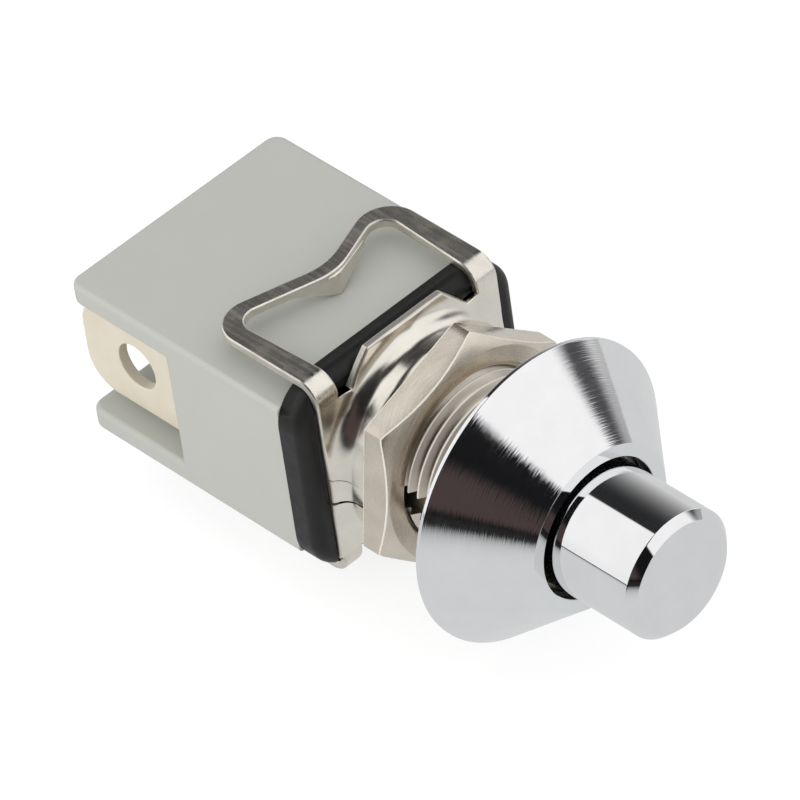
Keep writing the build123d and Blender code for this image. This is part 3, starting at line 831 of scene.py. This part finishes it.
def case_mesh():
    """The case with its hollow, which is open to the front."""
    low, high = ([c / MM for c in corner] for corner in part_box("case"))
    bm = case_block(low, high)
    front = front_face(bm)
    rim = front.edges[:]
    bmesh.ops.delete(bm, geom=[front], context="FACES_ONLY")
    left, right = low[0] + CASE_WALL, high[0] - CASE_WALL
    bottom, top = low[2] + CASE_WALL, high[2] - CASE_WALL
    corners = ((left, bottom), (right, bottom), (right, top), (left, top))
    mouth, floor = ([bm.verts.new((x, y, z)) for x, z in corners] for y in (low[1], low[1] + CASE_HOLLOW))
    rim += [bm.edges.new((mouth[i - 1], mouth[i])) for i in range(len(mouth))]
    for i in range(len(mouth)):
        bm.faces.new((mouth[i - 1], mouth[i], floor[i], floor[i - 1]))
    bm.faces.new(floor)
    bmesh.ops.triangle_fill(bm, edges=rim, use_beauty=True)
    return bm


flat_normals(piece("case_shell", case_mesh(), CASE, "switch", "case"))
flat_normals(piece("cover_shell", node_mesh("front_cover"), COVER, "switch", "front_cover"))
for terminal in ("terminal_left", "terminal_right"):
    strip = piece(terminal + "_strip", node_mesh(terminal), TIN, "switch", terminal)
    broken_edges(strip, TERMINAL_EDGE)


# Springs

def coil_mesh(radius, wire, front, back, turns):
    """Round wire wound about the Y axis, from one end of its space to the other."""
    first = front + wire / 2
    rise = back - front - wire
    steps = round(COIL_STEPS * turns)
    columns = []
    for k in range(steps + 1):
        turn = COIL_START - math.tau * turns * k / steps
        out = Vector((math.cos(turn), 0, math.sin(turn)))
        middle = out * radius + Vector((0, first + rise * k / steps, 0))
        along = Vector((math.sin(turn), rise / (math.tau * turns * radius), -math.cos(turn)))
        across = along.cross(out).normalized()
        columns.append([
            middle + (out * math.cos(a) + across * math.sin(a)) * wire / 2 for a in even_turns(COIL_SIDES)])
    bm = grid(columns, False)
    bm.verts.ensure_lookup_table()
    bm.faces.new(bm.verts[:COIL_SIDES])
    bm.faces.new(bm.verts[-COIL_SIDES:])
    return bm


return_mesh = coil_mesh(RETURN_R, RETURN_WIRE, RETURN_FRONT, RETURN_BACK, RETURN_TURNS)
return_coil = piece("return_coil", return_mesh, WIRE, "switch", "return_spring")
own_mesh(return_coil)
contact_mesh = coil_mesh(CONTACT_R, CONTACT_WIRE, CONTACT_FRONT, CONTACT_BACK, CONTACT_TURNS)
contact_coil = piece("contact_coil", contact_mesh, WIRE, "button", "contact_spring")
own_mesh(contact_coil)


# Camera, from a fit to the photo's circles and edges; its place is in metres, its sensor and lens are in mm

CAMERA_EYE = Vector((-0.265170, -0.323482, 0.379879))
CAMERA_RIGHT = Vector((0.708533, -0.696819, -0.111469))
CAMERA_UP = Vector((0.529542, 0.420600, 0.736669))
CAMERA_BACK = Vector((-0.466441, -0.580981, 0.667003))
CAMERA_SENSOR = 36.0
CAMERA_LENS = 405.04
camera = bpy.data.objects.new("camera", bpy.data.cameras.new("camera"))
camera.data.sensor_width = CAMERA_SENSOR
camera.data.lens = CAMERA_LENS
camera_turn = Matrix((CAMERA_RIGHT, CAMERA_UP, CAMERA_BACK)).transposed()
camera.matrix_world = Matrix.Translation(CAMERA_EYE) @ camera_turn.to_4x4()
bpy.context.scene.collection.objects.link(camera)
bpy.context.scene.camera = camera


# Stage: a floor that is white to the camera with a faint shadow, and plain pale to everything else

FLOOR_PALE = (0.74, 0.74, 0.74)
FLOOR_MIRRORED = (0.68, 0.69, 0.69)
# Metal sees the floor fall dark towards the front left, between two distances in metres
FLOOR_FAR_WAY = (-0.643, -0.766, 0.0)
FLOOR_FAR = (0.030, 0.160)
FLOOR_FAR_COLOR = (0.02, 0.02, 0.02)
FLOOR_SHADOW = (0.28, 0.28, 0.28)
FLOOR_GLOW = 0.80
# In metres
FLOOR_HALF = 3.0
FLOOR_CLEARANCE = 0.0001
FLOOR_Z = cad_box[0][2] - FLOOR_CLEARANCE


def floor_material():
    m = bpy.data.materials.new("floor")
    m.use_nodes = True
    m.node_tree.nodes.clear()
    n = Nodes(m.node_tree)
    rays = n.node("ShaderNodeLightPath").outputs
    place = n.node("ShaderNodeNewGeometry").outputs["Position"]
    reach = n.node("ShaderNodeVectorMath", {0: place, 1: FLOOR_FAR_WAY}, operation="DOT_PRODUCT")
    far = n.ramp(reach.outputs["Value"], 0, 1, *FLOOR_FAR, "SMOOTHSTEP")
    fading = n.blend(far, FLOOR_MIRRORED, FLOOR_FAR_COLOR)
    mirrored = n.node("ShaderNodeEmission", {"Color": fading}).outputs[0]
    plain = n.node("ShaderNodeBsdfDiffuse", {"Color": (*FLOOR_PALE, 1)}).outputs[0]
    pale = n.node("ShaderNodeMixShader", {0: rays["Is Glossy Ray"], 1: plain, 2: mirrored}).outputs[0]
    soft = n.node("ShaderNodeBsdfDiffuse", {"Color": (*FLOOR_SHADOW, 1)}).outputs[0]
    glow = n.node("ShaderNodeEmission", {"Strength": FLOOR_GLOW}).outputs[0]
    white = n.node("ShaderNodeAddShader", {0: soft, 1: glow}).outputs[0]
    mix = n.node("ShaderNodeMixShader", {0: rays["Is Camera Ray"], 1: pale, 2: white}).outputs[0]
    n.node("ShaderNodeOutputMaterial", {"Surface": mix})
    return m


floor_mesh = bpy.data.meshes.new("floor")
floor_corners = [(x * FLOOR_HALF, y * FLOOR_HALF, FLOOR_Z) for x, y in ((-1, -1), (1, -1), (1, 1), (-1, 1))]
floor_mesh.from_pydata(floor_corners, [], [(0, 1, 2, 3)])
floor_mesh.materials.append(floor_material())
floor = bpy.data.objects.new("floor", floor_mesh)
bpy.context.scene.collection.objects.link(floor)


# Room: an even pale light for matt surfaces, and for bright metal a white studio with a few dark flags.
# A flag has its azimuth from -Y towards +X and its elevation, each as low side, high side and the softness
# of both sides, in degrees, and its colour.
AMBIENT = 0.60
AMBIENT_TOP = 0.70
AMBIENT_POWER = 3.0
FLAGS = (
    ((-116, -14, 5.0, 1.5), (-6, 68, 3.0, 5.0), (0.008, 0.008, 0.009)),
    ((-114, -37, 4.0, 4.0), (3, 27, 2.5, 5.0), (0.070, 0.050, 0.048)),
    ((66, 100, 6.0, 8.0), (-8, 5, 2.0, 5.0), (0.52, 0.52, 0.52)),
    ((62, 80, 5.0, 6.0), (4, 27, 10.0, 6.0), (0.080, 0.080, 0.085)),
    ((112, 177, 6.0, 0.8), (9.5, 64, 47.0, 4.0), (0.024, 0.025, 0.026)),
    ((130, 182, 10.0, 1.0), (62, 84, 4.0, 4.0), (0.020, 0.018, 0.014)),
    ((-182, -32, 1.0, 12.0), (65, 92, 4.0, 1.0), (0.020, 0.018, 0.014)))


def flagged(n, direction):
    """The studio's colour by direction, for what mirrors it."""
    front = n.math("MULTIPLY", direction[1], -1.0)
    azimuth = n.math("DEGREES", n.math("ARCTAN2", direction[0], front))
    elevation = n.math("DEGREES", n.math("ARCSINE", direction[2]))
    color = (1, 1, 1)
    for around, up, flag_color in FLAGS:
        mask = None
        for angle, (low, high, soft_low, soft_high) in ((azimuth, around), (elevation, up)):
            rise = n.ramp(angle, 0, 1, low - soft_low, low + soft_low, "SMOOTHSTEP")
            fall = n.ramp(angle, 1, 0, high - soft_high, high + soft_high, "SMOOTHSTEP")
            side = n.math("MULTIPLY", rise, fall)
            mask = side if mask is None else n.math("MULTIPLY", mask, side)
        color = n.blend(mask, color, flag_color)
    return color


def room():
    world = bpy.data.worlds.new("room")
    world.use_nodes = True
    world.node_tree.nodes.clear()
    n = Nodes(world.node_tree)
    rays = n.node("ShaderNodeLightPath").outputs
    seen = n.math("MAXIMUM", rays["Is Camera Ray"], rays["Is Transmission Ray"])
    seen = n.math("MAXIMUM", seen, rays["Is Glossy Ray"])
    way = n.node("ShaderNodeTexCoord").outputs["Generated"]
    direction = n.node("ShaderNodeSeparateXYZ", {0: way}).outputs
    shown = n.blend(rays["Is Glossy Ray"], (1, 1, 1), flagged(n, direction))
    above = n.math("POWER", n.math("MAXIMUM", direction[2], 0.0), AMBIENT_POWER)
    strength = n.math("ADD", n.math("MULTIPLY", above, AMBIENT_TOP), AMBIENT)
    light = n.node("ShaderNodeBackground", {"Color": (1, 1, 1, 1), "Strength": strength}).outputs[0]
    studio = n.node("ShaderNodeBackground", {"Color": shown, "Strength": 1.0}).outputs[0]
    both = n.node("ShaderNodeMixShader", {0: seen, 1: light, 2: studio}).outputs[0]
    n.node("ShaderNodeOutputWorld", {"Surface": both})
    return world


bpy.context.scene.world = room()

# In metres and watts
LAMP_PLACE = Vector((-0.69, -0.12, 0.07))
LAMP_SIZE = 1.2
LAMP_POWER = 6.2
lamp = bpy.data.objects.new("lamp", bpy.data.lights.new("lamp", "AREA"))
lamp.data.size = LAMP_SIZE
lamp.data.energy = LAMP_POWER
lamp.location = LAMP_PLACE
lamp.rotation_euler = (-LAMP_PLACE).to_track_quat("-Z", "Y").to_euler()
lamp.visible_glossy = False
bpy.context.scene.collection.objects.link(lamp)

bpy.context.scene.view_settings.view_transform = "Standard"
